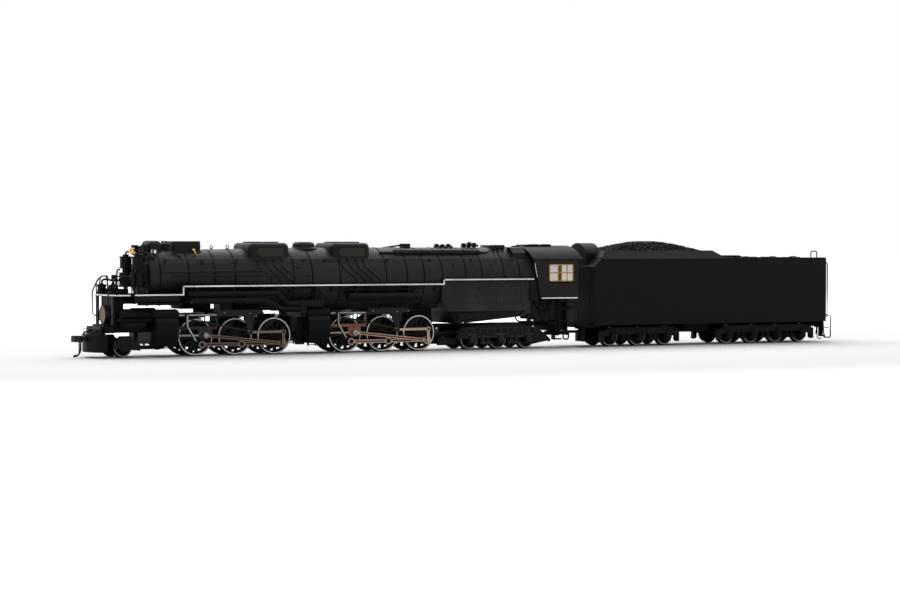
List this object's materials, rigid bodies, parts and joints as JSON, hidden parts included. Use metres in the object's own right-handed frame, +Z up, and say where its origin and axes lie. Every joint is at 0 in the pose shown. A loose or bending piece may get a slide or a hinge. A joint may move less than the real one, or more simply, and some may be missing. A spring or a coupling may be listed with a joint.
{
  "type": "model steam locomotive with tender",
  "caption": "Scale model of an articulated freight steam locomotive with tender; turning wheels and rods, swinging front engine, trucks and drawbar.",
  "frame": {"origin": "centre of the bounding box at the level of the wheel flanges' lowest points", "axes": "+X forward along the engine, +Y to the engine's left, +Z up"},
  "size_m": [0.44, 0.038, 0.056],
  "materials": {
    "body_black": "satin black paint",
    "tender_black": "matte warm black paint",
    "underframe_black": "matte black",
    "motion_bronze": "worn bronze-brown metal",
    "driver_black": "black wheel with a white tyre face",
    "wheel_steel": "turned steel rim on a black wheel",
    "bell_brass": "polished",
    "lamp_gold": "gold bezel with a pale lens",
    "coal": "rough black",
    "cab_inside": "matte dark grey",
    "coupler_steel": "dark metal"
  },
  "bodies": {
    "boiler": {"boiler": "body_black", "ash_pan": "tender_black", "smokebox_front": "body_black", "air_pumps": "body_black", "bell": "bell_brass", "stack": "body_black", "domes": "body_black", "top_fittings": "body_black", "running_boards": "body_black", "side_pipes": "body_black", "boiler_handrails": "body_black", "cab": "body_black", "cab_roof": "body_black", "cab_interior": "cab_inside", "rear_frame": "underframe_black", "rear_cylinders": "body_black", "rear_motion": "motion_bronze"},
    "front_engine": {"front_frame": "underframe_black", "front_cylinders": "body_black", "front_motion": "motion_bronze", "front_deck": "body_black", "pilot": "body_black", "headlight": "lamp_gold", "deck_handrails": "body_black", "front_coupler": "coupler_steel"},
    "lead_truck": {"lead_truck": "underframe_black"},
    "lead_axle": {"lead_wheelset": "wheel_steel"},
    "front_driver_1": {"front_driver_1": "driver_black"},
    "front_driver_2": {"front_driver_2": "driver_black"},
    "front_driver_3": {"front_driver_3": "driver_black"},
    "front_rods_left": {"front_rods_left": "motion_bronze"},
    "front_eccentric_rod_left": {"front_eccentric_rod_left": "motion_bronze"},
    "front_rods_right": {"front_rods_right": "motion_bronze"},
    "front_eccentric_rod_right": {"front_eccentric_rod_right": "motion_bronze"},
    "rear_driver_1": {"rear_driver_1": "driver_black"},
    "rear_driver_2": {"rear_driver_2": "driver_black"},
    "rear_driver_3": {"rear_driver_3": "driver_black"},
    "rear_rods_left": {"rear_rods_left": "motion_bronze"},
    "rear_eccentric_rod_left": {"rear_eccentric_rod_left": "motion_bronze"},
    "rear_rods_right": {"rear_rods_right": "motion_bronze"},
    "rear_eccentric_rod_right": {"rear_eccentric_rod_right": "motion_bronze"},
    "trailing_truck": {"trailing_truck": "underframe_black"},
    "trailing_axle_1": {"trailing_wheelset_1": "wheel_steel"},
    "trailing_axle_2": {"trailing_wheelset_2": "wheel_steel"},
    "trailing_axle_3": {"trailing_wheelset_3": "wheel_steel"},
    "drawbar": {"drawbar": "coupler_steel"},
    "tender": {"tender_tank": "tender_black", "coal_load": "coal", "tender_frame": "underframe_black", "tender_handrails": "tender_black", "tender_coupler": "coupler_steel"},
    "tender_front_truck": {"tender_front_truck": "underframe_black"},
    "tender_front_axle_1": {"tender_front_wheelset_1": "wheel_steel"},
    "tender_front_axle_2": {"tender_front_wheelset_2": "wheel_steel"},
    "tender_front_axle_3": {"tender_front_wheelset_3": "wheel_steel"},
    "tender_rear_truck": {"tender_rear_truck": "underframe_black"},
    "tender_rear_axle_1": {"tender_rear_wheelset_1": "wheel_steel"},
    "tender_rear_axle_2": {"tender_rear_wheelset_2": "wheel_steel"},
    "tender_rear_axle_3": {"tender_rear_wheelset_3": "wheel_steel"},
    "tender_rear_axle_4": {"tender_rear_wheelset_4": "wheel_steel"}
  },
  "joints": [
    {"name": "front_engine_swing", "type": "hinge", "parent": "boiler", "child": "front_engine", "pos_m": [0.1087, 0, 0.007], "axis": [0, 0, 1], "range_deg": [-6, 6]},
    {"name": "lead_truck_swing", "type": "hinge", "parent": "front_engine", "child": "lead_truck", "pos_m": [0.1772, 0, 0.0044], "axis": [0, 0, 1], "range_deg": [-8, 8]},
    {"name": "lead_axle_turn", "type": "hinge", "parent": "lead_truck", "child": "lead_axle", "pos_m": [0.1982, 0, 0.005], "axis": [0, 1, 0], "continuous": true},
    {"name": "front_driver_3_turn", "type": "hinge", "parent": "front_engine", "child": "front_driver_3", "pos_m": [0.1198, 0, 0.0094], "axis": [0, 1, 0], "continuous": true},
    {"name": "front_driver_1_turn", "type": "hinge", "parent": "front_engine", "child": "front_driver_1", "pos_m": [0.1612, 0, 0.0094], "axis": [0, 1, 0], "continuous": true},
    {"name": "front_driver_2_turn", "type": "hinge", "parent": "front_engine", "child": "front_driver_2", "pos_m": [0.1405, 0, 0.0094], "axis": [0, 1, 0], "continuous": true},
    {"name": "front_rods_left_pin", "type": "hinge", "parent": "front_driver_3", "child": "front_rods_left", "pos_m": [0.11684, 0.0122, 0.00562], "axis": [0, 1, 0], "continuous": true},
    {"name": "front_eccentric_rod_left_pin", "type": "hinge", "parent": "front_driver_3", "child": "front_eccentric_rod_left", "pos_m": [0.11727, 0.01575, 0.01152], "axis": [0, 1, 0], "continuous": true},
    {"name": "front_rods_right_pin", "type": "hinge", "parent": "front_driver_3", "child": "front_rods_right", "pos_m": [0.12358, -0.0122, 0.00644], "axis": [0, 1, 0], "continuous": true},
    {"name": "front_eccentric_rod_right_pin", "type": "hinge", "parent": "front_driver_3", "child": "front_eccentric_rod_right", "pos_m": [0.11768, -0.01575, 0.00687], "axis": [0, 1, 0], "continuous": true},
    {"name": "rear_driver_3_turn", "type": "hinge", "parent": "boiler", "child": "rear_driver_3", "pos_m": [0.0399, 0, 0.0094], "axis": [0, 1, 0], "continuous": true},
    {"name": "rear_driver_1_turn", "type": "hinge", "parent": "boiler", "child": "rear_driver_1", "pos_m": [0.0813, 0, 0.0094], "axis": [0, 1, 0], "continuous": true},
    {"name": "rear_driver_2_turn", "type": "hinge", "parent": "boiler", "child": "rear_driver_2", "pos_m": [0.0606, 0, 0.0094], "axis": [0, 1, 0], "continuous": true},
    {"name": "rear_rods_left_pin", "type": "hinge", "parent": "rear_driver_3", "child": "rear_rods_left", "pos_m": [0.03694, 0.0122, 0.00562], "axis": [0, 1, 0], "continuous": true},
    {"name": "rear_eccentric_rod_left_pin", "type": "hinge", "parent": "rear_driver_3", "child": "rear_eccentric_rod_left", "pos_m": [0.03737, 0.01575, 0.01152], "axis": [0, 1, 0], "continuous": true},
    {"name": "rear_rods_right_pin", "type": "hinge", "parent": "rear_driver_3", "child": "rear_rods_right", "pos_m": [0.04368, -0.0122, 0.00644], "axis": [0, 1, 0], "continuous": true},
    {"name": "rear_eccentric_rod_right_pin", "type": "hinge", "parent": "rear_driver_3", "child": "rear_eccentric_rod_right", "pos_m": [0.03778, -0.01575, 0.00687], "axis": [0, 1, 0], "continuous": true},
    {"name": "trailing_truck_swing", "type": "hinge", "parent": "boiler", "child": "trailing_truck", "pos_m": [0.0262, 0, 0.008], "axis": [0, 0, -1], "range_deg": [-6, 6]},
    {"name": "trailing_axle_1_turn", "type": "hinge", "parent": "trailing_truck", "child": "trailing_axle_1", "pos_m": [0.0108, 0, 0.0055], "axis": [0, 1, 0], "continuous": true},
    {"name": "trailing_axle_2_turn", "type": "hinge", "parent": "trailing_truck", "child": "trailing_axle_2", "pos_m": [-0.0058, 0, 0.0055], "axis": [0, 1, 0], "continuous": true},
    {"name": "trailing_axle_3_turn", "type": "hinge", "parent": "trailing_truck", "child": "trailing_axle_3", "pos_m": [-0.0224, 0, 0.0055], "axis": [0, 1, 0], "continuous": true},
    {"name": "drawbar_swing", "type": "hinge", "parent": "boiler", "child": "drawbar", "pos_m": [-0.0428, 0, 0.008], "axis": [0, 0, -1], "range_deg": [-8, 8]},
    {"name": "tender_swing", "type": "hinge", "parent": "drawbar", "child": "tender", "pos_m": [-0.0618, 0, 0.008], "axis": [0, 0, -1], "range_deg": [-8, 8]},
    {"name": "tender_front_truck_swing", "type": "hinge", "parent": "tender", "child": "tender_front_truck", "pos_m": [-0.0909, 0, 0.008], "axis": [0, 0, 1], "range_deg": [-8, 8]},
    {"name": "tender_front_axle_1_turn", "type": "hinge", "parent": "tender_front_truck", "child": "tender_front_axle_1", "pos_m": [-0.0737, 0, 0.0055], "axis": [0, 1, 0], "continuous": true},
    {"name": "tender_front_axle_2_turn", "type": "hinge", "parent": "tender_front_truck", "child": "tender_front_axle_2", "pos_m": [-0.0909, 0, 0.0055], "axis": [0, 1, 0], "continuous": true},
    {"name": "tender_front_axle_3_turn", "type": "hinge", "parent": "tender_front_truck", "child": "tender_front_axle_3", "pos_m": [-0.1081, 0, 0.0055], "axis": [0, 1, 0], "continuous": true},
    {"name": "tender_rear_truck_swing", "type": "hinge", "parent": "tender", "child": "tender_rear_truck", "pos_m": [-0.17241, 0, 0.008], "axis": [0, 0, -1], "range_deg": [-8, 8]},
    {"name": "tender_rear_axle_1_turn", "type": "hinge", "parent": "tender_rear_truck", "child": "tender_rear_axle_1", "pos_m": [-0.148, 0, 0.0055], "axis": [0, 1, 0], "continuous": true},
    {"name": "tender_rear_axle_2_turn", "type": "hinge", "parent": "tender_rear_truck", "child": "tender_rear_axle_2", "pos_m": [-0.16427, 0, 0.0055], "axis": [0, 1, 0], "continuous": true},
    {"name": "tender_rear_axle_3_turn", "type": "hinge", "parent": "tender_rear_truck", "child": "tender_rear_axle_3", "pos_m": [-0.18054, 0, 0.0055], "axis": [0, 1, 0], "continuous": true},
    {"name": "tender_rear_axle_4_turn", "type": "hinge", "parent": "tender_rear_truck", "child": "tender_rear_axle_4", "pos_m": [-0.19681, 0, 0.0055], "axis": [0, 1, 0], "continuous": true}
  ],
  "couplings": [
    {"joint": "front_driver_1_turn", "follows": "front_driver_3_turn", "ratio": 1},
    {"joint": "front_driver_2_turn", "follows": "front_driver_3_turn", "ratio": 1},
    {"joint": "front_rods_left_pin", "follows": "front_driver_3_turn", "ratio": -1},
    {"joint": "front_eccentric_rod_left_pin", "follows": "front_driver_3_turn", "ratio": -1},
    {"joint": "front_rods_right_pin", "follows": "front_driver_3_turn", "ratio": -1},
    {"joint": "front_eccentric_rod_right_pin", "follows": "front_driver_3_turn", "ratio": -1},
    {"joint": "rear_driver_1_turn", "follows": "rear_driver_3_turn", "ratio": 1},
    {"joint": "rear_driver_2_turn", "follows": "rear_driver_3_turn", "ratio": 1},
    {"joint": "rear_rods_left_pin", "follows": "rear_driver_3_turn", "ratio": -1},
    {"joint": "rear_eccentric_rod_left_pin", "follows": "rear_driver_3_turn", "ratio": -1},
    {"joint": "rear_rods_right_pin", "follows": "rear_driver_3_turn", "ratio": -1},
    {"joint": "rear_eccentric_rod_right_pin", "follows": "rear_driver_3_turn", "ratio": -1}
  ]
}
